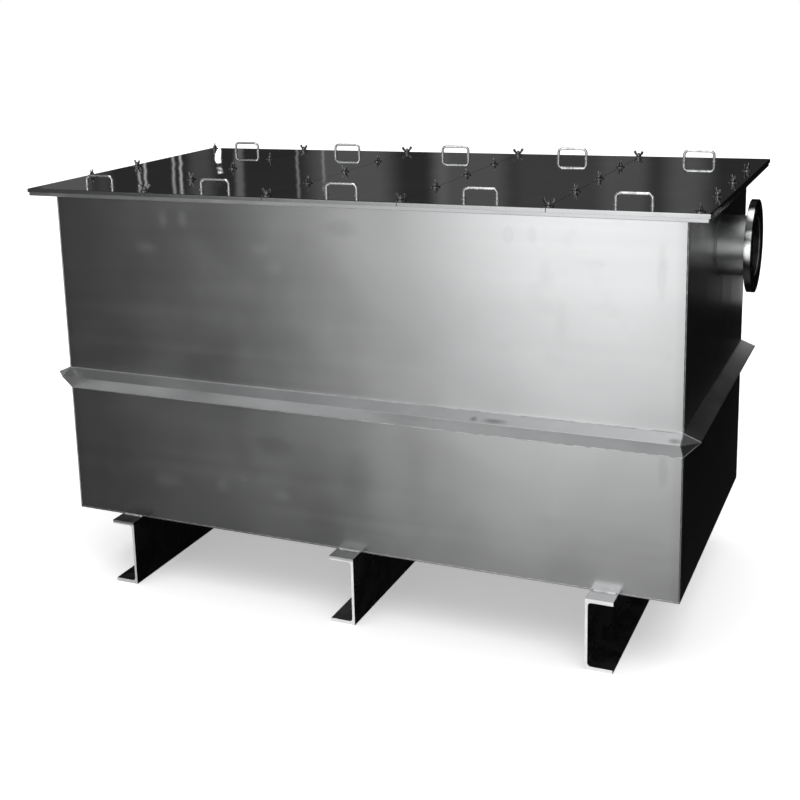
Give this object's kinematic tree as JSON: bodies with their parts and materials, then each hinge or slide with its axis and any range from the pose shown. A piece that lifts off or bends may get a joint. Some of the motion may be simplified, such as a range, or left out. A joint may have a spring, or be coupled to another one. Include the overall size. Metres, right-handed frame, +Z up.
{
  "type": "petrol interceptor",
  "caption": "Three-chamber stainless tank that holds back floating petrol from drain water, with flanged pipe ends, bolted covers with bow handles, and channel feet.",
  "frame": {"origin": "on the ground under the middle of the tank, at the bottom centre of the box", "axes": "+X along the tank from the inlet end to the outlet end, +Y to the rear, +Z up"},
  "size_m": [2.76, 1.44, 1.686],
  "materials": {
    "tank_sheet": "brushed stainless sheet",
    "folded_trim": "brushed stainless, ground at the mitres",
    "channel_steel": "pickled rolled stainless channel",
    "pipe_steel": "pickled stainless tube",
    "flange_steel": "turned stainless",
    "cover_plate": "polished stainless plate",
    "handle_bar": "bright round bar",
    "fastener_steel": "bright stainless",
    "gasket_rubber": "matt"
  },
  "bodies": {
    "root": {"base_plate": "tank_sheet", "front_wall": "tank_sheet", "rear_wall": "tank_sheet", "inlet_end_wall": "tank_sheet", "outlet_end_wall": "tank_sheet", "partition_1": "tank_sheet", "partition_2": "tank_sheet", "rim_front": "folded_trim", "stiffener_front": "folded_trim", "rim_rear": "folded_trim", "stiffener_rear": "folded_trim", "rim_inlet_end": "folded_trim", "stiffener_inlet_end": "folded_trim", "rim_outlet_end": "folded_trim", "stiffener_outlet_end": "folded_trim", "foot_inlet_end": "channel_steel", "foot_middle": "channel_steel", "foot_outlet_end": "channel_steel", "inlet_stub": "pipe_steel", "outlet_stub": "pipe_steel", "inlet_dip_tee": "pipe_steel", "outlet_dip_tee": "pipe_steel", "transfer_tee_1": "pipe_steel", "transfer_tee_2": "pipe_steel", "inlet_flange": "flange_steel", "outlet_flange": "flange_steel", "cover_bearer_1": "folded_trim", "cover_bearer_2": "folded_trim", "cover_bearer_3": "folded_trim", "cover_bearer_4": "folded_trim", "cover_gasket": "gasket_rubber", "cover_1": "cover_plate", "cover_2": "cover_plate", "cover_3": "cover_plate", "cover_4": "cover_plate", "cover_5": "cover_plate", "handle_front_1": "handle_bar", "handle_rear_1": "handle_bar", "handle_front_2": "handle_bar", "handle_rear_2": "handle_bar", "handle_front_3": "handle_bar", "handle_rear_3": "handle_bar", "handle_front_4": "handle_bar", "handle_rear_4": "handle_bar", "handle_front_5": "handle_bar", "handle_rear_5": "handle_bar", "cover_studs": "fastener_steel", "cover_washers": "fastener_steel", "wing_nuts": "fastener_steel"}
  },
  "joints": []
}
